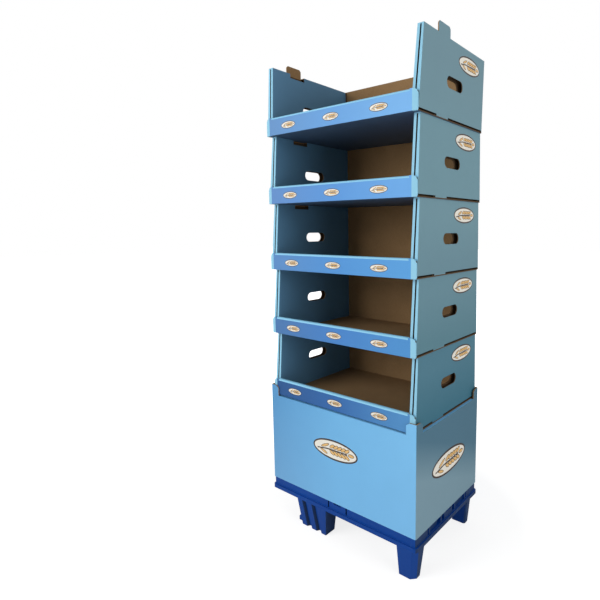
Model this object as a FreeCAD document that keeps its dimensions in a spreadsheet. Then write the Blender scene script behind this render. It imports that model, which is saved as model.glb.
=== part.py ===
import FreeCAD, Part
import os
import Sketcher

# Driving sizes of the display, all in millimetres
SIZES = (
    ("pallet_width", 600.0, "long side of the pallet, over its flange"),
    ("pallet_depth", 400.0, "short side of the pallet, over its flange"),
    ("pallet_height", 140.0, "ground to deck"),
    ("rim_height", 27.0, "upright rim face under the deck"),
    ("rim_thickness", 14.0, "rim wall that holds the pockets"),
    ("flange_height", 13.0, "flange that runs round below the rim"),
    ("flange_reach", 5.0, "flange beyond the rim face"),
    ("flange_wall", 6.0, "skirt under the flange"),
    ("flange_round", 10.0, "corner radius of the flange"),
    ("deck_thickness", 4.0, "top plate"),
    ("rib_thickness", 3.0, "ribs below the deck"),
    ("rib_rise", 6.0, "ribs end this far above the flange bottom"),
    ("rib_pitch_x", 100.0, "ribs across the pallet"),
    ("rib_pitch_y", 100.0, "ribs along the pallet"),
    ("window_size", 72.0, "square windows in the deck"),
    ("foot_wall", 4.0, "walls and floor of the hollow feet"),
    ("foot_draft", 14.0, "outer faces of the feet lean in by this"),
    ("back_foot_inset", 10.0, "back corner foot stands back from the flange"),
    ("corner_foot_x", 233.0, "inner face of the corner feet"),
    ("corner_foot_y", 149.0, "inner face of the corner feet, front to back"),
    ("corner_cut", 14.0, "flat facet on the corner of a foot"),
    ("long_foot_left", 178.0, "left end of the long feet, from the middle"),
    ("long_foot_right", 47.0, "right end of the long feet, from the middle"),
    ("long_foot_y", 142.0, "inner face of the long feet"),
    ("long_foot_draft", 9.0, "left end of the long feet leans in by this"),
    ("flute_land", 22.0, "flat between two flutes"),
    ("flute_mouth", 22.0, "flute width at the face"),
    ("flute_floor", 10.0, "flute width at its floor"),
    ("flute_depth", 9.0, "flute depth"),
    ("toe_tip", 197.0, "toe at the left end of the long feet"),
    ("toe_rise", 14.0, "upright end of the toe"),
    ("toe_top", 28.0, "upper edge of the toe"),
    ("toe_face", 174.0, "outer face of the toe"),
    ("pocket_margin", 2.0, "rim left above and below a pocket"),
    ("pocket_shallow", 6.0, "wide pockets"),
    ("pocket_deep", 11.0, "narrow slots"),
    ("slot_a_near", 26.0, "first slot beside the middle block of the short side"),
    ("slot_a_far", 41.0, ""),
    ("slot_b_near", 49.0, "second slot"),
    ("slot_b_far", 63.0, ""),
    ("slot_c_near", 120.0, "outermost slot"),
    ("slot_c_far", 127.0, ""),
    ("pocket_far", 112.0, "wide pocket starts at the second slot and ends here"),
    ("catch_half", 15.0, "half width of the hand gap under the box"),
    ("catch_drop", 7.0, "drop of the hand gap"),
    ("block_half", 35.0, "half width of the middle block on the long side"),
    ("block_slot", 5.0, "slot beside that block"),
    ("base_width", 594.0, "printed box that stands on the pallet"),
    ("base_depth", 394.0, ""),
    ("base_board", 4.0, "its board"),
    ("base_corner", 5.0, "radius of its folded corners"),
    ("base_fold", 305.0, "front and back top folds above the deck"),
    ("ear_top", 341.0, "corner ears above the deck"),
    ("front_ear", 35.0, "ear width on the front and back"),
    ("side_ear", 33.0, "ear width on the sides"),
    ("ear_cut_across", 11.0, "cut shoulder of an ear"),
    ("ear_cut_down", 8.0, ""),
    ("side_flap", 180.0, "side top flaps"),
    ("flap_gap", 1.0, "half gap between the front and back top flaps"),
    ("flap_play", 1.5, "top flaps are this much shorter than their notch"),
    ("foot_flap", 80.0, "mitred bottom flaps"),
    ("mitre_gap", 1.5, "gap at the mitres"),
    ("glue_flap", 35.0, "joint strip down the back left corner"),
    ("insert_board", 5.0, "slotted boards inside the box"),
    ("insert_play", 3.0, "slotted boards clear the box walls by this"),
    ("halving_play", 0.2, "play on each side of a halving slot"),
    ("cross_board_x", 276.0, "cross boards, straight below the tray walls"),
    ("tray_width", 575.0, "tray over its walls at the foot"),
    ("tray_depth", 385.0, ""),
    ("tray_height", 216.5, "one tray to the next"),
    ("board", 3.0, "tray board"),
    ("wall_foot", 23.0, "rolled side wall, thickness at the foot"),
    ("wall_lean", 4.0, "outer panel leans in by this up to its top"),
    ("panel_lift", 8.0, "outer panel ends this far above the tray bottom"),
    ("top_splay", 8.0, "walls of the top tray, which carries nothing, stand outward by this"),
    ("front_set", 22.0, "side wall front, set back at the top"),
    ("front_inner", 8.0, "inner turned-in flange of the wall front"),
    ("front_gap", 4.5, "gap between the two flanges"),
    ("lip_height", 55.5, "front lip"),
    ("lip_roll", 10.0, "rolled lip, front to back"),
    ("lip_round", 15.0, "top corners of the lip"),
    ("lip_fold", 6.0, "radius of the soft fold along the lip"),
    ("lip_end", 16.0, "creased end of the lip"),
    ("lip_end_set", 3.0, "creased end is set back by this"),
    ("fit_play", 0.5, "play between neighbouring panels"),
    ("tab_front", 95.0, "stacking tab, front edge before the middle"),
    ("tab_back", 30.0, "stacking tab, back edge before the middle"),
    ("tab_height", 29.0, ""),
    ("tab_cut", 6.0, "cut corners of the tab"),
    ("tab_dip", 14.0, "notch that the tab leaves in the inner panel"),
    ("hole_length", 94.0, "hand hole"),
    ("hole_height", 32.0, ""),
    ("hole_middle_y", 5.0, ""),
    ("hole_middle_z", 104.5, "above the tray bottom"),
    ("tuck_flap", 60.0, "back panel flaps inside the side walls"),
    ("overcut", 2.0, "cutters run past the material by this"),
)
TRAY_COUNT = 5


class Size:
    """A length and the sheet expression that drives it."""

    def __init__(self, text, value):
        self.text = text
        self.value = value

    def __add__(self, other):
        other = as_size(other)
        return Size(f"({self.text} + {other.text})", self.value + other.value)

    def __sub__(self, other):
        other = as_size(other)
        return Size(f"({self.text} - {other.text})", self.value - other.value)

    def __mul__(self, other):
        other = as_size(other)
        return Size(f"({self.text} * {other.text})", self.value * other.value)

    def __truediv__(self, other):
        other = as_size(other)
        return Size(f"({self.text} / {other.text})", self.value / other.value)

    def __neg__(self):
        return Size(f"(-1 * {self.text})", -self.value)


def as_size(value):
    if isinstance(value, Size):
        return value
    return Size(repr(value), float(value))


# Sheet with the driving sizes
doc = FreeCAD.newDocument("display")
sheet = doc.addObject("Spreadsheet::Sheet", "Sizes")
named = {}
for row, (alias, number, note) in enumerate(SIZES, start=1):
    sheet.set(f"A{row}", alias)
    sheet.set(f"B{row}", str(number))
    sheet.set(f"C{row}", note)
    sheet.setAlias(f"B{row}", alias)
    named[alias] = Size(f"Sizes.{alias}", number)
doc.recompute()
ZERO = as_size(0)


# Sketches whose every corner is held by two sizes
def sketch_on(body, label, plane, offset=ZERO):
    sketch = body.newObject("Sketcher::SketchObject", label)
    for item in body.Origin.OriginFeatures:
        if item.Role == plane:
            sketch.AttachmentSupport = [(item, "")]
    sketch.MapMode = "FlatFace"
    sketch.setExpression("AttachmentOffset.Base.z", offset.text)
    return sketch


def hold(sketch, geometry, end, kind, size):
    if size.value == 0:
        axis = -2 if kind == "DistanceX" else -1
        sketch.addConstraint(Sketcher.Constraint("PointOnObject", geometry, end, axis))
        return
    index = sketch.addConstraint(Sketcher.Constraint(kind, geometry, end, size.value))
    sketch.setExpression(f"Constraints[{index}]", size.text)


def outline(sketch, corners):
    """Close a loop. A corner may add the centre of the arc that leads to it."""
    points = [(as_size(c[0]), as_size(c[1])) for c in corners]
    starts = []
    ends = []
    for number, (x, y) in enumerate(points):
        previous = points[number - 1]
        begin = FreeCAD.Vector(previous[0].value, previous[1].value, 0)
        finish = FreeCAD.Vector(x.value, y.value, 0)
        if len(corners[number]) > 2:
            cx, cy = corners[number][2]
            centre = FreeCAD.Vector(cx.value, cy.value, 0)
            first = begin - centre
            last = finish - centre
            forward = first.x * last.y - first.y * last.x > -0.001
            turn = (first, last) if forward else (last, first)
            angles = [FreeCAD.Vector(1, 0, 0).getAngle(v) * (1 if v.y >= 0 else -1) for v in turn]
            circle = Part.Circle(centre, FreeCAD.Vector(0, 0, 1), first.Length)
            item = sketch.addGeometry(Part.ArcOfCircle(circle, *angles))
            hold(sketch, item, 3, "DistanceX", cx)
            hold(sketch, item, 3, "DistanceY", cy)
            starts.append((item, 1 if forward else 2))
            ends.append((item, 2 if forward else 1))
        else:
            item = sketch.addGeometry(Part.LineSegment(begin, finish))
            starts.append((item, 1))
            ends.append((item, 2))
    for number, (x, y) in enumerate(points):
        following = (number + 1) % len(points)
        sketch.addConstraint(Sketcher.Constraint("Coincident", *ends[number], *starts[following]))
        item, end = ends[number]
        if len(corners[number]) > 2:
            cx, cy = corners[number][2]
            if abs(x.value - cx.value) < abs(y.value - cy.value):
                hold(sketch, item, end, "DistanceX", x)
            else:
                hold(sketch, item, end, "DistanceY", y)
        else:
            hold(sketch, item, end, "DistanceX", x)
            hold(sketch, item, end, "DistanceY", y)


def rectangle(sketch, x0, y0, x1, y1):
    outline(sketch, [(x0, y0), (x1, y0), (x1, y1), (x0, y1)])


def both_sides(sketch, corners):
    outline(sketch, corners)
    outline(sketch, [(-x, y) for x, y in corners])


def front_and_back(sketch, corners):
    outline(sketch, corners)
    outline(sketch, [(x, -y) for x, y in corners])


def rounded(sketch, half_x, half_y, radius):
    ix = half_x - radius
    iy = half_y - radius
    outline(sketch, [
        (half_x, -iy, (ix, -iy)),
        (half_x, iy),
        (ix, half_y, (ix, iy)),
        (-ix, half_y),
        (-half_x, iy, (-ix, iy)),
        (-half_x, -iy),
        (-ix, -half_y, (-ix, -iy)),
        (ix, -half_y),
    ])


# Features
def grow(body, kind, label, sketch, length, reverse=False, both=False):
    feature = body.newObject(kind, label)
    feature.Profile = sketch
    feature.setExpression("Length", length.text)
    feature.Reversed = reverse
    if both:
        feature.SideType = "Symmetric"
    sketch.Visibility = False
    return feature


def pad(body, label, sketch, length, **how):
    return grow(body, "PartDesign::Pad", label, sketch, length, **how)


def cut(body, label, sketch, length, **how):
    return grow(body, "PartDesign::Pocket", label, sketch, length, **how)


def loft(body, kind, label, low, high):
    feature = body.newObject(kind, label)
    feature.Profile = low
    feature.Sections = [high]
    feature.Ruled = True
    return feature


def new_body(label):
    body = doc.addObject("PartDesign::Body", label)
    body.Label = label
    return body


# Pallet: one moulding with a deck, a pocketed rim, a flange and four hollow feet
def make_pallet():
    n = named
    body = new_body("pallet")
    top = n["pallet_height"]
    rim_x = n["pallet_width"] / 2 - n["flange_reach"]
    rim_y = n["pallet_depth"] / 2 - n["flange_reach"]
    ledge = top - n["rim_height"]
    under = ledge - n["flange_height"]
    deck_under = top - n["deck_thickness"]

    sk = sketch_on(body, "flange_outline", "XY_Plane", under)
    rounded(sk, n["pallet_width"] / 2, n["pallet_depth"] / 2, n["flange_round"])
    pad(body, "flange", sk, n["flange_height"])
    sk = sketch_on(body, "rim_outline", "XY_Plane", ledge)
    rounded(sk, rim_x, rim_y, n["flange_round"] - n["flange_reach"])
    pad(body, "rim", sk, n["rim_height"])

    # Hollow from below, wider inside the skirt than inside the rim
    skirt_x = n["pallet_width"] / 2 - n["flange_wall"]
    skirt_y = n["pallet_depth"] / 2 - n["flange_wall"]
    sk = sketch_on(body, "skirt_hollow", "XY_Plane", under)
    rectangle(sk, -skirt_x, -skirt_y, skirt_x, skirt_y)
    cut(body, "skirt_inside", sk, n["flange_height"] - n["flange_wall"] / 2, reverse=True)
    inner_x = rim_x - n["rim_thickness"]
    inner_y = rim_y - n["rim_thickness"]
    sk = sketch_on(body, "rim_hollow", "XY_Plane", under)
    rectangle(sk, -inner_x, -inner_y, inner_x, inner_y)
    cut(body, "rim_inside", sk, deck_under - under, reverse=True)

    # Ribs under the deck, patterned both ways
    rib_low = under + n["rib_rise"]
    half_rib = n["rib_thickness"] / 2
    sk = sketch_on(body, "rib_line_y", "XY_Plane", rib_low)
    first_x = -(n["rib_pitch_x"] * 2)
    rectangle(sk, first_x - half_rib, -inner_y - half_rib, first_x + half_rib, inner_y + half_rib)
    rib = pad(body, "rib_y", sk, deck_under - rib_low + half_rib)
    body.Tip = rib
    row_x = body.newObject("PartDesign::LinearPattern", "ribs_y")
    row_x.Originals = [rib]
    row_x.Direction = (sk, ["H_Axis"])
    row_x.Occurrences = 5
    row_x.setExpression("Length", (n["rib_pitch_x"] * 4).text)
    body.Tip = row_x
    sk = sketch_on(body, "rib_line_x", "XY_Plane", rib_low)
    first_y = -n["rib_pitch_y"]
    rectangle(sk, -inner_x - half_rib, first_y - half_rib, inner_x + half_rib, first_y + half_rib)
    rib = pad(body, "rib_x", sk, deck_under - rib_low + half_rib)
    body.Tip = rib
    row_y = body.newObject("PartDesign::LinearPattern", "ribs_x")
    row_y.Originals = [rib]
    row_y.Direction = (sk, ["V_Axis"])
    row_y.Occurrences = 3
    row_y.setExpression("Length", (n["rib_pitch_y"] * 2).text)
    body.Tip = row_y

    # Windows in the two middle rows of the deck
    half_window = n["window_size"] / 2
    sk = sketch_on(body, "window_outline", "XY_Plane", top)
    centre_x = -(n["rib_pitch_x"] * 2.5)
    for centre_y in (-n["rib_pitch_y"] / 2, n["rib_pitch_y"] / 2):
        rectangle(sk, centre_x + n["overcut"] * 2 - half_window, centre_y - half_window,
                  centre_x + n["overcut"] * 2 + half_window, centre_y + half_window)
    window = cut(body, "window", sk, n["deck_thickness"])
    body.Tip = window
    row = body.newObject("PartDesign::LinearPattern", "windows")
    row.Originals = [window]
    row.Direction = (sk, ["H_Axis"])
    row.Occurrences = 6
    row.setExpression("Length", (n["rib_pitch_x"] * 5 - n["overcut"] * 4).text)
    body.Tip = row

    # Feet: a socket under the deck, a drafted outer form, and an open inside
    edge_x = n["pallet_width"] / 2 - n["overcut"] / 4
    edge_y = n["pallet_depth"] / 2 - n["overcut"] / 4
    draft = n["foot_draft"]
    cut_size = n["corner_cut"]
    in_x = n["corner_foot_x"]
    in_y = n["corner_foot_y"]

    def corner_foot(out_x, out_y, side):
        points = [(in_x, in_y), (out_x - cut_size / 3, in_y), (out_x, in_y + cut_size / 3),
                  (out_x, out_y - cut_size), (out_x - cut_size, out_y), (in_x, out_y)]
        return [(x, y if side > 0 else -y) for x, y in points]

    left = -n["long_foot_left"]
    right = -n["long_foot_right"]
    inner = n["long_foot_y"]
    slope = (n["flute_mouth"] - n["flute_floor"]) / 2
    depth = n["flute_depth"]

    def long_foot(x0, x1, out_y, side):
        points = [(x0, inner), (x0, out_y)]
        x = x0 + n["flute_land"]
        for _ in range(2):
            points.append((x, out_y))
            points.append((x + slope, out_y - depth))
            points.append((x + slope + n["flute_floor"], out_y - depth))
            points.append((x + n["flute_mouth"], out_y))
            x = x + n["flute_mouth"] + n["flute_land"]
        points += [(x1, out_y), (x1, inner)]
        return [(x, y if side > 0 else -y) for x, y in points]

    wall = n["foot_wall"]
    for side, end, inset in ((-1, "front", ZERO), (1, "back", n["back_foot_inset"])):
        low = sketch_on(body, f"corner_{end}_low", "XY_Plane")
        outline(low, corner_foot(edge_x - draft - inset / 2, edge_y - draft, side))
        high = sketch_on(body, f"corner_{end}_high", "XY_Plane", under)
        outline(high, corner_foot(edge_x - inset, edge_y - inset, side))
        loft(body, "PartDesign::AdditiveLoft", f"corner_foot_{end}", low, high)
        low = sketch_on(body, f"long_{end}_low", "XY_Plane")
        outline(low, long_foot(left + n["long_foot_draft"], right - draft, edge_y - draft, side))
        high = sketch_on(body, f"long_{end}_high", "XY_Plane", under)
        outline(high, long_foot(left, right, edge_y, side))
        loft(body, "PartDesign::AdditiveLoft", f"long_foot_{end}", low, high)
        toe = sketch_on(body, f"toe_{end}_outline", "XZ_Plane", -(n["toe_face"] * side))
        root = left + n["flute_land"]
        outline(toe, [(-n["toe_tip"], ZERO), (root, ZERO), (root, n["toe_top"]),
                      (-(n["toe_tip"] - n["toe_rise"]), n["toe_top"]), (-n["toe_tip"], n["toe_rise"])])
        pad(body, f"toe_{end}", toe, n["toe_face"] - inner, reverse=side < 0)

    sk = sketch_on(body, "foot_sockets", "XY_Plane", under)
    front_and_back(sk, [(in_x, in_y), (rim_x - wall, in_y), (rim_x - wall, rim_y - wall),
                        (in_x, rim_y - wall)])
    front_and_back(sk, [(left, inner), (right, inner), (right, rim_y - wall), (left, rim_y - wall)])
    pad(body, "sockets", sk, deck_under - under + half_rib)

    mouth_x = rim_x - wall
    mouth_y = rim_y - wall
    for side, end, inset in ((-1, "front", ZERO), (1, "back", n["back_foot_inset"])):
        def mirror(points):
            return [(x, y if side > 0 else -y) for x, y in points]
        low = sketch_on(body, f"corner_{end}_floor", "XY_Plane", wall)
        deep_x = edge_x - draft - wall
        deep_y = edge_y - draft - wall
        fx = deep_x - inset / 2
        fy = deep_y - inset / 2
        outline(low, mirror([(in_x + wall, in_y + wall), (fx, in_y + wall), (fx, fy - cut_size / 2),
                             (fx - cut_size / 2, fy), (in_x + wall, fy)]))
        high = sketch_on(body, f"corner_{end}_mouth", "XY_Plane", top)
        fx = mouth_x - inset
        fy = mouth_y - inset
        outline(high, mirror([(in_x + wall, in_y + wall), (fx, in_y + wall), (fx, fy - cut_size / 2),
                              (fx - cut_size / 2, fy), (in_x + wall, fy)]))
        loft(body, "PartDesign::SubtractiveLoft", f"corner_hollow_{end}", low, high)
        low = sketch_on(body, f"long_{end}_floor", "XY_Plane", wall)
        x0 = left + n["long_foot_draft"] + wall
        x1 = right - draft - wall
        outline(low, mirror([(x0, inner + wall), (x1, inner + wall), (x1, deep_y - depth),
                             (x0, deep_y - depth)]))
        high = sketch_on(body, f"long_{end}_mouth", "XY_Plane", top)
        outline(high, mirror([(left + wall, inner + wall), (right - wall, inner + wall),
                              (right - wall, mouth_y - depth), (left + wall, mouth_y - depth)]))
        loft(body, "PartDesign::SubtractiveLoft", f"long_hollow_{end}", low, high)

    # Pockets and slots in the short sides, and beside the middle block of the long sides
    low_z = ledge + n["pocket_margin"]
    high_z = top - n["pocket_margin"]
    for side, end in ((-1, "left"), (1, "right")):
        sk = sketch_on(body, f"slots_{end}", "YZ_Plane", rim_x * side)
        for near, far in (("slot_a_near", "slot_a_far"), ("slot_b_near", "slot_b_far"),
                          ("slot_c_near", "slot_c_far")):
            rectangle(sk, n[near], low_z, n[far], high_z)
            rectangle(sk, -n[far], low_z, -n[near], high_z)
        cut(body, f"side_slots_{end}", sk, n["pocket_deep"], reverse=side < 0)
        sk = sketch_on(body, f"pockets_{end}", "YZ_Plane", rim_x * side)
        rectangle(sk, n["slot_b_far"], low_z, n["pocket_far"], high_z)
        rectangle(sk, -n["pocket_far"], low_z, -n["slot_b_far"], high_z)
        cut(body, f"side_pockets_{end}", sk, n["pocket_shallow"], reverse=side < 0)
        sk = sketch_on(body, f"catch_{end}", "YZ_Plane", rim_x * side)
        rectangle(sk, -n["catch_half"], top - n["catch_drop"], n["catch_half"], top + n["overcut"])
        cut(body, f"side_catch_{end}", sk, n["pocket_deep"], reverse=side < 0)
    for side, end in ((1, "front"), (-1, "back")):
        sk = sketch_on(body, f"block_{end}", "XZ_Plane", rim_y * side)
        both_sides(sk, [(n["block_half"], low_z), (n["block_half"] + n["block_slot"], low_z),
                        (n["block_half"] + n["block_slot"], high_z), (n["block_half"], high_z)])
        rectangle(sk, -n["catch_half"], top - n["catch_drop"], n["catch_half"], top + n["overcut"])
        cut(body, f"{end}_slots", sk, n["pocket_deep"], reverse=side < 0)
    return body


# Base box: one wrapped sheet with corner ears, top flaps and mitred bottom flaps
def make_base():
    n = named
    body = new_body("base_box")
    half_x = n["base_width"] / 2
    half_y = n["base_depth"] / 2
    in_x = half_x - n["base_board"]
    in_y = half_y - n["base_board"]
    ear = n["ear_top"]
    over = n["overcut"]
    board = n["base_board"]
    front_fold = n["base_fold"]
    side_fold = front_fold + board

    sk = sketch_on(body, "wrap_outline", "XY_Plane")
    rounded(sk, half_x, half_y, n["base_corner"])
    rounded(sk, in_x, in_y, n["base_corner"] - board)
    pad(body, "wrap", sk, ear)

    def notch(sketch, half, fold):
        wide = half + n["ear_cut_across"]
        down = ear - n["ear_cut_down"]
        outline(sketch, [(-half, fold), (half, fold), (half, down), (wide, ear), (wide, ear + over),
                         (-wide, ear + over), (-wide, ear), (-half, down)])

    front_half = half_x - n["front_ear"]
    side_half = half_y - n["side_ear"]
    sk = sketch_on(body, "front_notch_outline", "XZ_Plane")
    notch(sk, front_half, front_fold)
    cut(body, "front_and_back_notch", sk, n["base_depth"] + over, both=True)
    sk = sketch_on(body, "side_notch_outline", "YZ_Plane")
    notch(sk, side_half, side_fold)
    cut(body, "side_notches", sk, n["base_width"] + over, both=True)

    # Top flaps: front and back ones first, side ones folded over them
    reach = front_half - n["flap_play"]
    sk = sketch_on(body, "long_flap_outline", "XY_Plane", front_fold)
    front_and_back(sk, [(-reach, n["flap_gap"]), (reach, n["flap_gap"]), (reach, in_y), (-reach, in_y)])
    pad(body, "long_flaps", sk, board, reverse=True)
    reach = side_half - n["flap_play"]
    tip = in_x - n["side_flap"]
    sk = sketch_on(body, "side_flap_outline", "XY_Plane", side_fold)
    both_sides(sk, [(tip, -reach), (in_x, -reach), (in_x, reach), (tip, reach)])
    pad(body, "side_flaps", sk, board, reverse=True)

    # Bottom flaps lie on the deck
    gap = n["mitre_gap"]
    length = n["foot_flap"]
    sk = sketch_on(body, "foot_flap_outline", "XY_Plane")
    front_and_back(sk, [(-(in_x - gap), in_y), (in_x - gap, in_y),
                        (in_x - gap - length, in_y - length), (-(in_x - gap - length), in_y - length)])
    both_sides(sk, [(in_x, -(in_y - gap)), (in_x, in_y - gap),
                    (in_x - length, in_y - gap - length), (in_x - length, -(in_y - gap - length))])
    pad(body, "foot_flaps", sk, board)

    # Joint strip folded from the back panel and glued inside the left one
    sk = sketch_on(body, "joint_outline", "XY_Plane", board)
    rectangle(sk, -in_x, in_y - n["glue_flap"], -in_x + board, in_y)
    pad(body, "joint_strip", sk, front_fold - board * 3)
    return body


# Slotted boards inside the box, halved into each other
def insert_levels():
    low = named["base_board"]
    high = named["base_fold"] - named["base_board"]
    return low, high, (low + high) / 2


def make_long_board():
    n = named
    body = new_body("divider_long")
    low, high, middle = insert_levels()
    reach = n["base_width"] / 2 - n["base_board"] - n["insert_play"]
    half = n["insert_board"] / 2 + n["halving_play"]
    centre = n["cross_board_x"]
    sk = sketch_on(body, "long_board_outline", "XZ_Plane")
    outline(sk, [(-reach, low), (-centre - half, low), (-centre - half, middle), (-centre + half, middle),
                 (-centre + half, low), (centre - half, low), (centre - half, middle),
                 (centre + half, middle), (centre + half, low), (reach, low), (reach, high),
                 (-reach, high)])
    pad(body, "long_board", sk, n["insert_board"], both=True)
    return body


def make_cross_board(label, side):
    n = named
    body = new_body(label)
    low, high, middle = insert_levels()
    reach = n["base_depth"] / 2 - n["base_board"] - n["insert_play"]
    half = n["insert_board"] / 2 + n["halving_play"]
    sk = sketch_on(body, f"{label}_outline", "YZ_Plane", n["cross_board_x"] * side)
    outline(sk, [(-reach, low), (reach, low), (reach, high), (half, high), (half, middle),
                 (-half, middle), (-half, high), (-reach, high)])
    pad(body, f"{label}_board", sk, n["insert_board"], both=True)
    return body


# Tray: one folded sheet with rolled side walls, a rolled lip and stacking tabs
def make_tray(label, splay=ZERO):
    n = named
    body = new_body(label)
    w = n["tray_width"] / 2
    d = n["tray_depth"] / 2
    t = n["board"]
    high = n["tray_height"]
    lift = n["panel_lift"]
    seat = w - n["wall_lean"]
    top = seat + splay
    inner = w - n["wall_foot"]
    inner_top = inner + splay
    over = n["overcut"]
    outside = w + splay + over

    # Cross section of the sheet: floor, inner panel, top strip, leaning outer panel
    half = [(w, ZERO), (w, t), (inner + t, t), (inner_top + t, high - t), (top - t, high - t),
            (w - t, lift), (w, lift), (top, high), (inner_top, high), (inner, t)]
    sk = sketch_on(body, f"{label}_section", "XZ_Plane", d - t)
    outline(sk, half + [(-x, z) for x, z in reversed(half)])
    pad(body, f"{label}_sheet", sk, n["tray_depth"] - t * 2, reverse=True)

    # Slanted front of the side walls, with a flange turned in from each panel
    foot_y = -(d - t - n["lip_end_set"])
    top_y = -(d - n["front_set"])
    at_lift = foot_y + (top_y - foot_y) * ((lift - t) / (high - t))
    sk = sketch_on(body, f"{label}_slant", "YZ_Plane")
    outline(sk, [(-(d + over), t), (foot_y, t), (top_y, high), (top_y, high + over),
                 (-(d + over), high + over)])
    cut(body, f"{label}_slanted_front", sk, outside * 2, both=True)
    sk = sketch_on(body, f"{label}_flange_line", "YZ_Plane")
    outline(sk, [(at_lift, lift), (at_lift + t, lift), (top_y + t, high), (top_y, high)])
    pad(body, f"{label}_front_flanges", sk, (w + splay) * 2, both=True)
    sk = sketch_on(body, f"{label}_clear", "XZ_Plane")
    outline(sk, [(-inner, t), (inner, t), (inner_top, high), (inner_top, high + over),
                 (-inner_top, high + over), (-inner_top, high)])
    both_sides(sk, [(w, lift), (outside, lift), (outside, high + over), (top, high + over), (top, high)])
    gap_low = inner + n["front_inner"]
    gap_high = gap_low + n["front_gap"]
    both_sides(sk, [(gap_low, t), (gap_high, t), (gap_high + splay, high - t),
                    (gap_low + splay, high - t)])
    cut(body, f"{label}_open_front", sk, n["tray_depth"] + over, both=True)

    # Stacking tabs are cut from the top strip and stay in line with the outer panels
    y0 = -n["tab_front"]
    y1 = -n["tab_back"]
    sk = sketch_on(body, f"{label}_tab_notch", "YZ_Plane")
    rectangle(sk, y0, high - n["tab_dip"], y1, high + over)
    cut(body, f"{label}_tab_notches", sk, (top - t) * 2, both=True)
    sk = sketch_on(body, f"{label}_tab_plan", "XY_Plane", high - t)
    both_sides(sk, [(top - t, y0), (top, y0), (top, y1), (top - t, y1)])
    pad(body, f"{label}_tabs", sk, n["tab_height"] + t)
    crest = high + n["tab_height"]
    c = n["tab_cut"]
    sk = sketch_on(body, f"{label}_tab_corner", "YZ_Plane")
    outline(sk, [(y0 - over, crest - c), (y0, crest - c), (y0 + c, crest), (y0 + c, crest + over),
                 (y0 - over, crest + over)])
    outline(sk, [(y1 + over, crest - c), (y1, crest - c), (y1 - c, crest), (y1 - c, crest + over),
                 (y1 + over, crest + over)])
    cut(body, f"{label}_tab_corners", sk, outside * 2, both=True)

    # The outer panels hang on the floor by a hinge below each tab
    sk = sketch_on(body, f"{label}_hinge_plan", "XY_Plane")
    both_sides(sk, [(w - t, y0), (w, y0), (w, y1), (w - t, y1)])
    pad(body, f"{label}_hinges", sk, lift)
    play = n["fit_play"]
    sk = sketch_on(body, f"{label}_tab_slot", "XY_Plane")
    both_sides(sk, [(seat - t - play, y0 - play * 2), (w - t, y0 - play * 2), (w - t, y1 + play * 2),
                    (seat - t - play, y1 + play * 2)])
    cut(body, f"{label}_tab_slots", sk, t, reverse=True)

    # Lip: an outer panel with creased ends and rounded corners, rolled back over its top
    back = n["lip_end_set"]
    end = w - n["lip_end"]
    lip = n["lip_height"]
    sk = sketch_on(body, f"{label}_lip_plan", "XY_Plane")
    outline(sk, [(-w, -(d - back)), (-end, -d), (end, -d), (w, -(d - back)), (w, -(d - back - t)),
                 (end, -(d - t)), (-end, -(d - t)), (-w, -(d - back - t))])
    pad(body, f"{label}_lip", sk, lip)
    r = n["lip_round"]
    sk = sketch_on(body, f"{label}_lip_corner", "XZ_Plane", d + over)
    for sign in (1, -1):
        outline(sk, [(w * sign, lip - r, ((w - r) * sign, lip - r)), ((w + over) * sign, lip - r),
                     ((w + over) * sign, lip + over), ((w - r) * sign, lip + over),
                     ((w - r) * sign, lip)])
    cut(body, f"{label}_lip_corners", sk, over + back + t + play / 2)
    roll = n["lip_roll"]
    fold = n["lip_fold"]
    sk = sketch_on(body, f"{label}_roll_section", "YZ_Plane")
    outline(sk, [(-(d - t), lip - fold), (-(d - fold), lip - t), (-(d - roll + t), lip - t),
                 (-(d - roll + t), t), (-(d - roll), t), (-(d - roll), lip), (-(d - t), lip)])
    pad(body, f"{label}_lip_roll", sk, (inner - play) * 2, both=True)
    sk = sketch_on(body, f"{label}_soft_fold", "YZ_Plane")
    outline(sk, [(-(d + over), lip - fold), (-d, lip - fold),
                 (-(d - fold), lip, (-(d - fold), lip - fold)), (-(d - fold), lip + over),
                 (-(d + over), lip + over)])
    cut(body, f"{label}_lip_fold", sk, (inner - play) * 2, both=True)

    # Back panel, with a flap tucked into each side wall
    sk = sketch_on(body, f"{label}_back_outline", "XZ_Plane", -d)
    outline(sk, [(-w, ZERO), (w, ZERO), (w, lift), (top, high), (-top, high), (-w, lift)])
    pad(body, f"{label}_back", sk, t)
    sk = sketch_on(body, f"{label}_tuck_outline", "XZ_Plane", -(d - t))
    tuck = inner + t + play * 2
    both_sides(sk, [(tuck, lift), (tuck + t, lift), (tuck + t + splay, high - t * 2),
                    (tuck + splay, high - t * 2)])
    pad(body, f"{label}_tuck_flaps", sk, n["tuck_flap"])

    # Hand holes through both layers
    r = n["hole_height"] / 2
    z0 = n["hole_middle_z"] - r
    z1 = n["hole_middle_z"] + r
    far = n["hole_length"] / 2 - r
    c0 = n["hole_middle_y"] - far
    c1 = n["hole_middle_y"] + far
    zc = n["hole_middle_z"]
    sk = sketch_on(body, f"{label}_hand_hole", "YZ_Plane")
    outline(sk, [(c1, z0), (c1, z1, (c1, zc)), (c0, z1), (c0, z0, (c0, zc))])
    cut(body, f"{label}_hand_holes", sk, outside * 2, both=True)
    return body


bodies = [make_pallet(), make_base(), make_long_board()]
bodies.append(make_cross_board("divider_left", -1))
bodies.append(make_cross_board("divider_right", 1))
bodies.append(make_tray("tray_1", named["top_splay"]))
for number in range(2, TRAY_COUNT + 1):
    bodies.append(make_tray(f"tray_{number}"))

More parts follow.
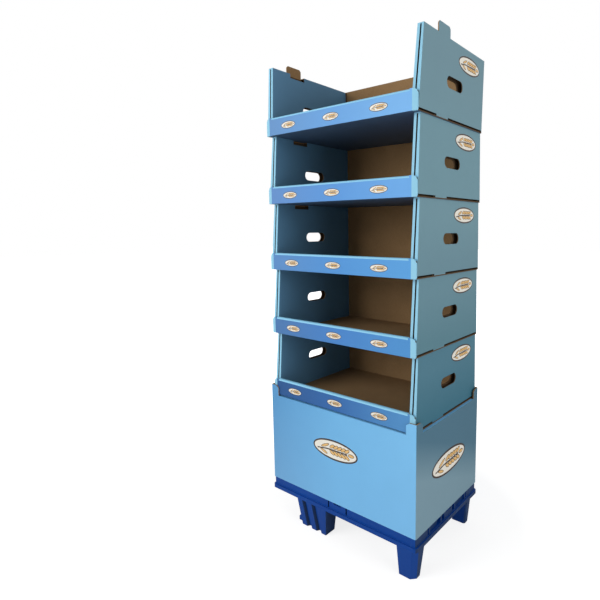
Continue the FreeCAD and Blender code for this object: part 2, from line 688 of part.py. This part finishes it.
# Each piece stands on the one below it
deck = named["pallet_height"]
for body in bodies[1:5]:
    body.setExpression("Placement.Base.z", deck.text)
floor = deck + named["base_fold"] + named["base_board"]
for number, body in enumerate(bodies[5:], start=1):
    level = floor + named["tray_height"] * (TRAY_COUNT - number)
    body.setExpression("Placement.Base.z", level.text)

doc.recompute()
faults = []
for item in doc.Objects:
    if "Invalid" in item.State or "Error" in item.State:
        faults.append(item.Name)
    elif item.isDerivedFrom("Part::Feature") and item.Shape.isNull():
        faults.append(item.Name)
for body in bodies:
    if not body.Shape.isValid() or len(body.Shape.Solids) != 1:
        faults.append(body.Label)
if faults:
    raise RuntimeError("not built: " + ", ".join(faults))

os.makedirs("parts", exist_ok=True)
for body in bodies:
    body.Shape.exportStep(f"parts/{body.Label}.step")
    box = body.Shape.BoundBox
    print(f"{body.Label}: {box.XLength:.1f} x {box.YLength:.1f} x {box.ZLength:.1f}, "
          f"z {box.ZMin:.1f} to {box.ZMax:.1f}, {body.Shape.Volume / 1000:.0f} cm3")
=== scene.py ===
import bpy
import math
from mathutils import Matrix, Vector


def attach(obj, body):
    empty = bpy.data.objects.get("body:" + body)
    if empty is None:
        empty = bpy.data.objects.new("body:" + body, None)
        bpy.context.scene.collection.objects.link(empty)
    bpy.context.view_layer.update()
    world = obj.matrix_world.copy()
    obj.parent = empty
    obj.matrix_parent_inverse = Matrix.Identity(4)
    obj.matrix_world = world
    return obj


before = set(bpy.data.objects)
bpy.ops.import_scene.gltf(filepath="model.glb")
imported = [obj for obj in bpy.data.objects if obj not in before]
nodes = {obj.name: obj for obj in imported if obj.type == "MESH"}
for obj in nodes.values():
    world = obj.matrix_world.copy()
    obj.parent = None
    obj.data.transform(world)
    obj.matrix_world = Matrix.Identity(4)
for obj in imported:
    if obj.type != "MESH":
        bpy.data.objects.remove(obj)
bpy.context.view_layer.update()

# Sizes repeated from the part's source, in metres
MM = 0.001
DECK = 140 * MM
BASE_HALF_X = 297 * MM
BASE_HALF_Y = 197 * MM
BASE_BOARD = 4 * MM
TRAY_COUNT = 5
LOWEST_FLOOR = 449 * MM
TRAY_HEIGHT = 216.5 * MM
TRAY_HALF_X = 287.5 * MM
TRAY_HALF_Y = 192.5 * MM
TRAY_BOARD = 3 * MM
PANEL_LIFT = 8 * MM
WALL_LEAN = 4 * MM
TOP_SPLAY = 8 * MM
WALL_INNER = 264.5 * MM
LIP_HEIGHT = 55.5 * MM
LIP_ROLL = 10 * MM
LIP_FOLD = 6 * MM
LIP_END = 271.5 * MM

# Limits that part one face of a sheet from the next, in metres; a tray's z counts from its underside
CLOSE = 0.6 * MM
FACE_SLACK = 0.5 * MM
ABOVE_FLOOR = TRAY_BOARD + 0.2 * MM
BEHIND_PANEL = TRAY_HALF_X - 8.5 * MM
BEYOND_WALL = WALL_INNER + 1.5 * MM
LIP_BACK = -(TRAY_HALF_Y - LIP_ROLL)
LIP_LINING = LIP_BACK - TRAY_BOARD
BEHIND_LIP_FACE = -(TRAY_HALF_Y - 5 * MM)
FLANGE_BACK = -(TRAY_HALF_Y - 2 * TRAY_BOARD)
WALL_FRONT = -160 * MM
BACK_LINING = TRAY_HALF_Y - TRAY_BOARD - 0.1 * MM
FLAP_TOP = LOWEST_FLOOR - DECK
BASE_SLACK = BASE_BOARD - FACE_SLACK

# Limits for a face's normal: it points along an axis above FACING or SIDEWAYS, stands with its z below
# UPRIGHT, and is part of the lip's soft fold with its z above FOLD_SLOPE
FACING = 0.5
SIDEWAYS = 0.7
UPRIGHT = 0.25
FOLD_SLOPE = 0.06

# Screen colours of the print, 0 to 255, some with painted light in them; the lips run from left to right
# and grow lighter to the right with a painted sheen, and the sides run from low to high with painted shade
# in them
# Lips: print, darker on the lower trays, with a painted sheen that lightens each lip towards its right end
LIP_PRINT_AND_SHEEN_COLOURS = (
    ((98, 144, 196), (101, 160, 220), (119, 180, 236)),
    ((93, 138, 196), (86, 148, 215), (104, 168, 230)),
    ((88, 137, 193), (78, 145, 211), (87, 159, 221)),
    ((74, 119, 173), (69, 129, 198), (78, 146, 208)),
    ((40, 85, 141), (51, 103, 168), (81, 143, 199)),
)
# Outer side panels: print darkened with painted shade, darker on the lower trays and towards the bottom of
# the lower ones
TRAY_SIDE_PRINT_AND_SHADE = (
    ((114, 149, 161), (114, 147, 159)),
    ((113, 150, 162), (113, 150, 162)),
    ((108, 143, 156), (114, 150, 162)),
    ((92, 132, 145), (105, 142, 155)),
    ((60, 111, 130), (80, 125, 143)),
)
TRAY_INSIDE = (90, 136, 170)
# The floor's underside: its print darkened with painted shade
TRAY_UNDERSIDE_SHADE = (70, 96, 128)
# Painted highlight on the lip ends and the walls' front edges
TRAY_EDGE_HIGHLIGHT = (146, 204, 230)
# Painted highlight on the top folds of the walls and on the lip's rounded fold
TRAY_FOLD_HIGHLIGHT = (142, 206, 238)
# Painted shade along the back's top and bottom edges, where the trays meet
TRAY_SEAM_SHADE = (44, 62, 76)
# Short sides of the box: print darkened with painted shade, light then dark along a diagonal fade
BASE_SIDE_PRINT_AND_SHADE = ((124, 154, 168), (78, 116, 136))
BASE_LOW_COLOURS = ((110, 165, 210), (120, 186, 233), (124, 190, 237))
BASE_HIGH_COLOURS = ((88, 150, 200), (113, 181, 229), (126, 194, 240))

# Screen colours of the bare board and of the pallet
KRAFT_DARK = (132, 102, 68)
KRAFT_LIGHT = (170, 136, 95)
# Painted shade for bare board in slits and cavities
HOLLOW_SHADE = (38, 30, 26)
PLASTIC_DARK = (0, 56, 134)
PLASTIC_LIGHT = (0, 68, 152)
# Painted shade on the pallet's short sides
PLASTIC_SIDE_SHADE = (22, 50, 92)
PLASTIC_WORN = (50, 96, 156)


class Value:
    """A number in a material's node tree; masks are numbers that are 0 or 1."""

    def __init__(self, tree, socket):
        self.tree = tree
        self.socket = socket

    def join(self, operation, other=None):
        node = self.tree.nodes.new("ShaderNodeMath")
        node.operation = operation
        self.tree.links.new(self.socket, node.inputs[0])
        if isinstance(other, Value):
            self.tree.links.new(other.socket, node.inputs[1])
        elif other is not None:
            node.inputs[1].default_value = other
        return Value(self.tree, node.outputs[0])

    def __add__(self, other):
        return self.join("ADD", other)

    def __sub__(self, other):
        return self.join("SUBTRACT", other)

    def __mul__(self, other):
        return self.join("MULTIPLY", other)

    def __gt__(self, other):
        return self.join("GREATER_THAN", other)

    def __lt__(self, other):
        return self.join("LESS_THAN", other)

    def __and__(self, other):
        return self.join("MULTIPLY", other)

    def __or__(self, other):
        return self.join("MAXIMUM", other)

    def __invert__(self):
        return self * -1 + 1

    def size(self):
        return self.join("ABSOLUTE")

    def near(self, value, slack=CLOSE):
        return (self - value).size() < slack

    def between(self, low, high):
        return (self > low) & (self < high)


def linear(red, green, blue):
    """A colour as a screen shows it, 0 to 255, as the renderer wants it."""
    return tuple((c / 255 / 12.92 if c < 10.3 else ((c / 255 + 0.055) / 1.055) ** 2.4)
                 for c in (red, green, blue)) + (1,)


# Parts of a node tree that the materials share
def new_material(name):
    material = bpy.data.materials.new(name)
    material.use_nodes = True
    tree = material.node_tree
    shader = tree.nodes["Principled BSDF"]
    return material, tree, shader


def mix(tree, factor, first, second):
    """first where factor is 0, second where it is 1."""
    node = tree.nodes.new("ShaderNodeMix")
    node.data_type = "RGBA"
    # For colours this node takes its two items at sockets 6 and 7 and gives the result at 2
    for socket, item in ((node.inputs[0], factor), (node.inputs[6], first), (node.inputs[7], second)):
        if isinstance(item, Value):
            tree.links.new(item.socket, socket)
        elif hasattr(item, "is_output"):
            tree.links.new(item, socket)
        else:
            socket.default_value = item
    return node.outputs[2]


def ramp(tree, value, *stops):
    """A field that runs through colours; each stop is a place from 0 to 1 and a screen colour."""
    node = tree.nodes.new("ShaderNodeValToRGB")
    elements = node.color_ramp.elements
    elements.remove(elements[1])
    elements[0].position = stops[0][0]
    elements[0].color = linear(*stops[0][1])
    for place, colour in stops[1:]:
        elements.new(place).color = linear(*colour)
    tree.links.new(value.socket, node.inputs[0])
    return node.outputs[0]


def parts_of(tree, vector):
    split = tree.nodes.new("ShaderNodeSeparateXYZ")
    tree.links.new(vector, split.inputs[0])
    return [Value(tree, split.outputs[axis]) for axis in range(3)]


def position(tree):
    """The place on the object, as three values and as the vector that textures take."""
    place = tree.nodes.new("ShaderNodeTexCoord").outputs["Object"]
    return parts_of(tree, place), place


def face_direction(tree):
    return parts_of(tree, tree.nodes.new("ShaderNodeNewGeometry").outputs["True Normal"])


def noise(tree, place, scale, detail, stretch=None):
    if stretch:
        mapping = tree.nodes.new("ShaderNodeMapping")
        mapping.inputs["Scale"].default_value = stretch
        tree.links.new(place, mapping.inputs["Vector"])
        place = mapping.outputs[0]
    node = tree.nodes.new("ShaderNodeTexNoise")
    node.inputs["Scale"].default_value = scale
    node.inputs["Detail"].default_value = detail
    tree.links.new(place, node.inputs["Vector"])
    return Value(tree, node.outputs["Fac"])


def waves(value, pitch):
    """0 to 1 and back over each pitch along value."""
    return (value * (2 * math.pi / pitch)).join("SINE") * 0.5 + 0.5


def shade(tree, colour, amount):
    """colour, lighter or darker by amount - 1."""
    node = tree.nodes.new("ShaderNodeVectorMath")
    node.operation = "SCALE"
    tree.links.new(colour, node.inputs[0])
    tree.links.new(amount.socket, node.inputs["Scale"])
    return node.outputs[0]


def soften(tree, shader, height, strength, depth, radius):
    """Rounded edges and a fine relief in the light."""
    bevel = tree.nodes.new("ShaderNodeBevel")
    bevel.samples = 4
    bevel.inputs["Radius"].default_value = radius
    bump = tree.nodes.new("ShaderNodeBump")
    bump.inputs["Strength"].default_value = strength
    bump.inputs["Distance"].default_value = depth
    tree.links.new(height.socket, bump.inputs["Height"])
    tree.links.new(bevel.outputs[0], bump.inputs["Normal"])
    tree.links.new(bump.outputs[0], shader.inputs["Normal"])


# Board
FLUTE_PITCH = 6.4 * MM


def finish_board(tree, shader, printed=None, print_colour=None, hollow_shade=None):
    """Kraft board with its fibres and flutes; print_colour where printed is 1, and darkened with painted
    shade where the hollow mask is 1.
    """
    (x, y, _), place = position(tree)
    fibres = noise(tree, place, scale=900, detail=3, stretch=(1, 1, 0.25))
    blotches = noise(tree, place, scale=14, detail=3)
    colour = mix(tree, fibres, linear(*KRAFT_DARK), linear(*KRAFT_LIGHT))
    colour = shade(tree, colour, blotches * 0.25 + 0.88)
    roughness = fibres * 0.10 + 0.82
    # Where the hollow mask is 1 the kraft is darkened with painted shade
    if hollow_shade is not None:
        colour = mix(tree, hollow_shade * 0.72, colour, linear(*HOLLOW_SHADE))
    if printed is not None:
        speckle = noise(tree, place, scale=2200, detail=2)
        ink = shade(tree, print_colour, blotches * 0.05 + speckle * 0.05 + 0.95)
        colour = mix(tree, printed, colour, ink)
        roughness = roughness + printed * -0.30
    tree.links.new(colour, shader.inputs["Base Color"])
    tree.links.new(roughness.socket, shader.inputs["Roughness"])
    shader.inputs["Specular IOR Level"].default_value = 0.25
    ripple = waves(x + y, FLUTE_PITCH) * 0.5 + fibres * 0.5
    soften(tree, shader, ripple, strength=0.05, depth=0.25 * MM, radius=1.3 * MM)


def tray_floor(number):
    return LOWEST_FLOOR + (TRAY_COUNT - number) * TRAY_HEIGHT


def tray_splay(number):
    """How much further out a tray's walls stand at the top; only the top tray's are free to."""
    return TOP_SPLAY if number == 1 else 0


def tray_material(number):
    """Which faces of the folded sheet show its printed side, and which its raw side."""
    material, tree, shader = new_material(f"tray_{number}_print")
    (x, y, height), _ = position(tree)
    z = height - tray_floor(number)
    nx, ny, nz = face_direction(tree)
    outward = nx * x.join("SIGN")
    across = x.size()

    outside = (outward > FACING) & (across > BEHIND_PANEL) & (z > ABOVE_FLOOR) & (nz.size() < UPRIGHT)
    inside = (outward < -FACING) & (across < BEYOND_WALL + tray_splay(number)) & (z < TRAY_HEIGHT + MM)
    hidden_lining = y.near(LIP_LINING, 0.4 * MM) & (across < WALL_INNER - 0.3 * MM)
    front = (ny < -FACING) & (y < WALL_FRONT) & ~hidden_lining
    lip_back = y.near(LIP_BACK) & (across < WALL_INNER)
    back = (ny > FACING) & ((y > TRAY_HALF_Y - FACE_SLACK) | lip_back)
    under = (nz < -FACING) & (z < FACE_SLACK)
    fold = (nz > FACING) & z.near(TRAY_HEIGHT) & (y < BACK_LINING)
    lip_fold = (nz > FOLD_SLOPE) & z.between(LIP_HEIGHT - LIP_FOLD, LIP_HEIGHT + MM)
    lip_fold = lip_fold & (y < LIP_BACK + FACE_SLACK)
    printed = outside | inside | front | back | under | fold | lip_fold

    # The outer side panels get their print darkened with painted shade
    low, high = TRAY_SIDE_PRINT_AND_SHADE[number - 1]
    side_print_and_shade = ramp(tree, z * (1 / TRAY_HEIGHT), (0.12, low), (0.75, high))
    # The lip's print grows lighter towards its right end with a painted sheen
    left, middle, right = LIP_PRINT_AND_SHEEN_COLOURS[number - 1]
    lip = ramp(tree, x * (0.5 / TRAY_HALF_X) + 0.5, (0.06, left), (0.5, middle), (0.92, right))
    lip_end = (across > LIP_END) & (y < FLANGE_BACK)
    wall_end = (ny < -FACING) & (across > WALL_INNER) & (y > FLANGE_BACK - 0.3 * MM)
    # A thin line of painted shade along the back's top and bottom, where the trays meet
    seam_shade = back & ~z.between(MM, TRAY_HEIGHT - MM)
    colour = mix(tree, outside, linear(*TRAY_INSIDE), side_print_and_shade)
    # The underside gets its print darkened with painted shade
    colour = mix(tree, under, colour, linear(*TRAY_UNDERSIDE_SHADE))
    colour = mix(tree, front & (y < BEHIND_LIP_FACE), colour, lip)
    # A painted highlight on the lip ends and the wall front edges
    colour = mix(tree, lip_end | wall_end, colour, linear(*TRAY_EDGE_HIGHLIGHT))
    colour = mix(tree, seam_shade, colour, linear(*TRAY_SEAM_SHADE))
    # A painted highlight on the wall folds and the lip's rounded fold
    colour = mix(tree, fold | lip_fold, colour, linear(*TRAY_FOLD_HIGHLIGHT))

    # The floor's raw edge in the slits between trays and the raw board inside the wall cavities get painted
    # shade
    slit = (across > TRAY_HALF_X - MM) & (z < PANEL_LIFT)
    cavity = (across > WALL_INNER - FACE_SLACK) & (z < TRAY_HEIGHT - 2.5 * MM)
    finish_board(tree, shader, printed, colour, slit | cavity)
    return material


def base_material():
    """Print on the box's outer faces and flaps; on the short sides the print is darkened with painted
    shade, in a diagonal fade that is darker towards the top and the back.
    """
    material, tree, shader = new_material("base_print")
    (x, y, height), _ = position(tree)
    z = height - DECK
    nx, ny, nz = face_direction(tree)
    upright = nz.size() < UPRIGHT

    sides = (nx.size() > SIDEWAYS) & (x.size() > BASE_HALF_X - BASE_SLACK) & upright
    fronts = (ny.size() > FACING) & (y.size() > BASE_HALF_Y - BASE_SLACK) & upright
    flaps = (nz > FACING) & z.between(FLAP_TOP - BASE_BOARD - FACE_SLACK, FLAP_TOP + FACE_SLACK)
    under = (nz < -FACING) & (z < FACE_SLACK)
    printed = sides | fronts | flaps | under

    # The short sides get their print darkened with painted shade, darker towards the top and the back
    fade_tilt = 0.38
    fade_start = 98 * MM
    fade_length = 120 * MM
    slope = (z + y * fade_tilt - fade_start) * (1 / fade_length)
    light, dark = BASE_SIDE_PRINT_AND_SHADE
    side_print_and_shade = ramp(tree, slope, (0.0, light), (1.0, dark))
    along = x * (0.5 / BASE_HALF_X) + 0.5
    stops = (0.0, 0.5, 1.0)
    low = ramp(tree, along, *zip(stops, BASE_LOW_COLOURS))
    high = ramp(tree, along, *zip(stops, BASE_HIGH_COLOURS))
    front_height = 300 * MM
    front = mix(tree, (z * (1 / front_height)).join("MINIMUM", 1.0), low, high)
    finish_board(tree, shader, printed, mix(tree, sides, front, side_print_and_shade))
    return material


def insert_material():
    material, tree, shader = new_material("kraft_board")
    finish_board(tree, shader)
    return material


# Pallet
def plastic_material():
    """Blue plastic with soft clouds and paler worn spots, and painted shade on the faces of its short
    sides.
    """
    material, tree, shader = new_material("pallet_plastic")
    _, place = position(tree)
    grain = noise(tree, place, scale=1400, detail=2)
    clouds = noise(tree, place, scale=9, detail=3)
    scuffs = noise(tree, place, scale=55, detail=6, stretch=(1, 1, 0.3))
    nx = face_direction(tree)[0]
    colour = mix(tree, clouds, linear(*PLASTIC_DARK), linear(*PLASTIC_LIGHT))
    # The faces of the short sides get painted shade
    colour = mix(tree, nx.size() > SIDEWAYS, colour, linear(*PLASTIC_SIDE_SHADE))
    colour = mix(tree, (scuffs > 0.66) * 0.2, colour, linear(*PLASTIC_WORN))
    tree.links.new(colour, shader.inputs["Base Color"])
    tree.links.new((clouds * 0.12 + grain * 0.08 + 0.34).socket, shader.inputs["Roughness"])
    shader.inputs["Specular IOR Level"].default_value = 0.22
    soften(tree, shader, grain, strength=0.12, depth=0.2 * MM, radius=1.2 * MM)
    return material


def dress(node, material):
    mesh = nodes[node].data
    mesh.materials.clear()
    mesh.materials.append(material)


dress("pallet", plastic_material())
dress("base_box", base_material())
kraft = insert_material()
for name in ("divider_long", "divider_left", "divider_right"):
    dress(name, kraft)
for number in range(1, TRAY_COUNT + 1):
    dress(f"tray_{number}", tray_material(number))

# Prints: sprigs of grain on an oval plate, thin and just proud of the board
BROWN = 0
CREAM = 1
GOLD = 2
LAYER = 0.15 * MM
CLEAR = 0.02 * MM
SPRIG_HEIGHT = 0.36
SPRIG_RIM = 0.06
GRAIN_PAIRS = 5
FIRST_PAIR = -0.12
PAIR_PITCH = 0.165
STALK = ((-0.80, -0.10), (-0.35, -0.035), (0.55, -0.015), (0.55, 0.03), (-0.35, 0.01), (-0.80, -0.06))


def oval(u, v, long, short, angle=0.0, corners=20):
    turn = math.radians(angle)
    points = []
    for step in range(corners):
        a = 2 * math.pi * step / corners
        p = long * math.cos(a)
        q = short * math.sin(a)
        points.append((u + p * math.cos(turn) - q * math.sin(turn),
                       v + p * math.sin(turn) + q * math.cos(turn)))
    return points


def sprig_shapes():
    """Outlines in units of half the sprig's width, each with its layer and its ink."""
    shapes = [(1, BROWN, oval(0, 0, 1, SPRIG_HEIGHT, corners=48)),
              (2, CREAM, oval(0, 0, 1 - SPRIG_RIM, SPRIG_HEIGHT - SPRIG_RIM, corners=48)),
              (3, BROWN, STALK)]
    # The grain at the tip, the two leaves at the foot, then the pairs of grains between them
    grains = [(0.72, 0.01, 0.13, 0.062, 0), (-0.44, 0.09, 0.2, 0.05, 24), (-0.50, -0.14, 0.17, 0.046, -20)]
    for pair in range(GRAIN_PAIRS):
        for sign in (-1, 1):
            grains.append((FIRST_PAIR + PAIR_PITCH * pair, 0.01 + 0.11 * sign, 0.125, 0.062, 30 * sign))
    for u, v, long, short, angle in grains:
        shapes.append((4, BROWN, oval(u, v, long, short, angle)))
        shapes.append((5, GOLD, oval(u, v, long * 0.86, short * 0.72, angle)))
    return shapes


def ink_material(name, tint, deep):
    material, tree, shader = new_material(name)
    _, place = position(tree)
    grain = noise(tree, place, scale=700, detail=3)
    tree.links.new(mix(tree, grain, linear(*deep), linear(*tint)), shader.inputs["Base Color"])
    tree.links.new((grain * 0.15 + 0.45).socket, shader.inputs["Roughness"])
    return material


inks = (ink_material("ink_brown", (66, 48, 38), (46, 34, 28)),
        ink_material("ink_cream", (244, 240, 230), (232, 226, 212)),
        ink_material("ink_gold", (240, 198, 130), (222, 172, 104)))


def sprigs(name, places):
    """places: centre, direction across, direction up, direction out, width, all in metres."""
    vertices = []
    faces = []
    tints = []
    for centre, across, up, out, width in places:
        for layer, tint, points in sprig_shapes():
            first = len(vertices)
            count = len(points)
            flat = [Vector(centre) + (across * u + up * v) * (width / 2) for u, v in points]
            for height in (CLEAR, LAYER * layer):
                vertices += [point + out * height for point in flat]
            faces.append([first + count + step for step in range(count)])
            for step in range(count):
                after = (step + 1) % count
                faces.append((first + step, first + after, first + count + after, first + count + step))
            tints += [tint] * (count + 1)
    mesh = bpy.data.meshes.new(name)
    mesh.from_pydata(vertices, [], faces)
    for ink in inks:
        mesh.materials.append(ink)
    for polygon, tint in zip(mesh.polygons, tints):
        polygon.material_index = tint
    mesh.update()
    piece = bpy.data.objects.new(name, mesh)
    bpy.context.collection.objects.link(piece)
    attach(piece, "root")


X = Vector((1, 0, 0))
Y = Vector((0, 1, 0))
Z = Vector((0, 0, 1))
BASE_FRONT_SPRIG = 186 * MM
BASE_SIDE_SPRIG = 214 * MM
BASE_FRONT_RISE = DECK + 180 * MM
BASE_SIDE_RISE = DECK + 162 * MM
BASE_FRONT_SHIFT = -5 * MM
BASE_SIDE_SHIFT = -3 * MM
LIP_SPRIG = 62 * MM
LIP_SPRIG_RISE = 25 * MM
LIP_SPRIG_PLACES = (-185 * MM, -8 * MM, 165 * MM)
TRAY_SIDE_SPRIG = 136 * MM
TRAY_SIDE_RISE = 174 * MM
TRAY_SIDE_BACK = 91 * MM

sprigs("base_box_sprigs", [
    ((BASE_FRONT_SHIFT, -BASE_HALF_Y, BASE_FRONT_RISE), X, Z, -Y, BASE_FRONT_SPRIG),
    ((BASE_HALF_X, BASE_SIDE_SHIFT, BASE_SIDE_RISE), Y, Z, X, BASE_SIDE_SPRIG),
    ((-BASE_HALF_X, -BASE_SIDE_SHIFT, BASE_SIDE_RISE), -Y, Z, -X, BASE_SIDE_SPRIG),
])
for number in range(1, TRAY_COUNT + 1):
    lip_rise = tray_floor(number) + LIP_SPRIG_RISE
    spots = [((x, -TRAY_HALF_Y, lip_rise), X, Z, -Y, LIP_SPRIG) for x in LIP_SPRIG_PLACES]
    # The outer wall panel leans, and the sprig on it leans with it
    drift = (tray_splay(number) - WALL_LEAN) / (TRAY_HEIGHT - PANEL_LIFT)
    half_width = TRAY_HALF_X + drift * (TRAY_SIDE_RISE - PANEL_LIFT)
    for sign in (1, -1):
        centre = (sign * half_width, TRAY_SIDE_BACK, tray_floor(number) + TRAY_SIDE_RISE)
        up = Vector((sign * drift, 0, 1)).normalized()
        spots.append((centre, Y * sign, up, (Y * sign).cross(up), TRAY_SIDE_SPRIG))
    sprigs(f"tray_{number}_sprigs", spots)

# Floor, light and camera
FLOOR_GREY = 0.72
FLOOR_GLOW = 1.6
FLOOR_SIZE = 40
FLOOR_DROP = 0.2 * MM
AMBIENT = 0.35
LAMP_AIM = (0, 0, 0.7)


def floor_surface():
    """Grey under the lamps, and to the camera a glow that grows to pure white away from the stand."""
    material, tree, shader = new_material("studio_floor")
    shader.inputs["Base Color"].default_value = (FLOOR_GREY, FLOOR_GREY, FLOOR_GREY, 1)
    shader.inputs["Roughness"].default_value = 0.9
    glow = tree.nodes.new("ShaderNodeEmission")
    glow.inputs["Strength"].default_value = FLOOR_GLOW
    (x, y, _), _ = position(tree)
    distance = (x * x + y * y).join("SQRT")
    whiteness = (distance * 0.6 + 0.2).join("MAXIMUM", 0.5).join("MINIMUM", 1.0)
    rays = tree.nodes.new("ShaderNodeLightPath")
    weight = Value(tree, rays.outputs["Is Camera Ray"]) * whiteness
    blend = tree.nodes.new("ShaderNodeMixShader")
    tree.links.new(weight.socket, blend.inputs[0])
    tree.links.new(shader.outputs[0], blend.inputs[1])
    tree.links.new(glow.outputs[0], blend.inputs[2])
    tree.links.new(blend.outputs[0], tree.nodes["Material Output"].inputs["Surface"])
    return material


def set_world():
    """White to the camera and in reflections, dimmer as light on the stand."""
    world = bpy.data.worlds.new("studio")
    bpy.context.scene.world = world
    world.use_nodes = True
    tree = world.node_tree
    background = tree.nodes["Background"]
    background.inputs["Color"].default_value = (1, 1, 1, 1)
    rays = tree.nodes.new("ShaderNodeLightPath").outputs
    seen = Value(tree, rays["Is Camera Ray"]) | Value(tree, rays["Is Glossy Ray"])
    seen = seen | Value(tree, rays["Is Transmission Ray"])
    tree.links.new((seen * (1 - AMBIENT) + AMBIENT).socket, background.inputs["Strength"])


def lamp(name, place, size, watts):
    data = bpy.data.lights.new(name, "AREA")
    data.size = size
    data.energy = watts
    item = bpy.data.objects.new(name, data)
    item.location = place
    item.rotation_euler = (Vector(LAMP_AIM) - Vector(place)).to_track_quat("-Z", "Y").to_euler()
    bpy.context.collection.objects.link(item)


bpy.ops.mesh.primitive_plane_add(size=FLOOR_SIZE, location=(0, 0, -FLOOR_DROP))
floor = bpy.context.object
floor.name = "studio_floor"
floor.data.materials.append(floor_surface())
set_world()
lamp("key", place=(-1.6, -3.2, 1.9), size=2.2, watts=83)
lamp("fill", place=(3.4, -0.6, 1.3), size=2.0, watts=48)

# The camera solved from the photo: pixels of its width, degrees, metres, and millimetres for the sensor
PHOTO_WIDTH = 600
FOCAL_LENGTH = 473.394
SHIFT_RIGHT = -71.627
SHIFT_UP = -9.861
YAW = math.radians(-37.190)
PITCH = math.radians(-7.390)
ROLL = math.radians(-0.2146)
CAMERA_PLACE = (0.947943, -1.257131, 1.016335)
SENSOR_WIDTH = 36


def add_camera():
    forward = Vector((math.sin(YAW) * math.cos(PITCH), math.cos(YAW) * math.cos(PITCH), math.sin(PITCH)))
    level_right = Vector((math.cos(YAW), -math.sin(YAW), 0))
    level_up = level_right.cross(forward)
    right = level_right * math.cos(ROLL) + level_up * math.sin(ROLL)
    up = level_up * math.cos(ROLL) - level_right * math.sin(ROLL)
    data = bpy.data.cameras.new("camera")
    data.sensor_width = SENSOR_WIDTH
    data.lens = FOCAL_LENGTH / PHOTO_WIDTH * SENSOR_WIDTH
    data.shift_x = SHIFT_RIGHT / PHOTO_WIDTH
    data.shift_y = SHIFT_UP / PHOTO_WIDTH
    camera = bpy.data.objects.new("camera", data)
    turn = Matrix((right, up, -forward)).transposed().to_4x4()
    camera.matrix_world = Matrix.Translation(CAMERA_PLACE) @ turn
    bpy.context.collection.objects.link(camera)
    bpy.context.scene.camera = camera


add_camera()
bpy.context.scene.view_settings.view_transform = "Standard"
